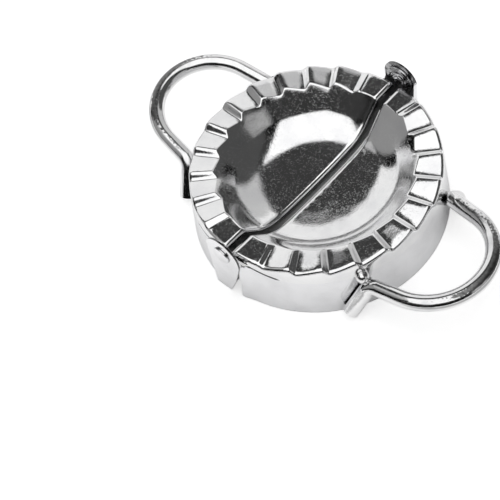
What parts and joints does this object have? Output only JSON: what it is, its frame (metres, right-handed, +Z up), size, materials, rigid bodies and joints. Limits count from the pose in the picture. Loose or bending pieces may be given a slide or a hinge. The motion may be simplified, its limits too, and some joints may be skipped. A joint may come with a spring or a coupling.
{
  "type": "empanada press",
  "caption": "Hinged stainless steel press for sealing filled dough turnovers: half-round bowls with a saw-tooth pleating rim, a standing skirt and bent-rod handles, shown lying open.",
  "frame": {"origin": "on the table under the middle of the open press, midway between the two hinge rivets", "axes": "+X across the hinge line toward the right-hand handle, +Y along the hinge line toward the far rivet, +Z up"},
  "size_m": [0.164, 0.1064, 0.0336],
  "materials": {
    "mould_steel": "polished stainless steel",
    "skirt_steel": "polished stainless steel, faint rolling grain",
    "handle_steel": "polished stainless rod",
    "rivet_steel": "polished stainless steel"
  },
  "bodies": {
    "left_half": {"left_mould_plate": "mould_steel", "left_skirt": "skirt_steel", "left_handle": "handle_steel", "near_rivet": "rivet_steel", "far_rivet": "rivet_steel", "near_washer": "rivet_steel", "far_washer": "rivet_steel"},
    "right_half": {"right_mould_plate": "mould_steel", "right_skirt": "skirt_steel", "right_handle": "handle_steel"}
  },
  "joints": [
    {"name": "fold_shut", "type": "hinge", "parent": "left_half", "child": "right_half", "pos_m": [0, 0, 0.0256], "axis": [0, -1, 0], "range_deg": [0, 180]}
  ]
}
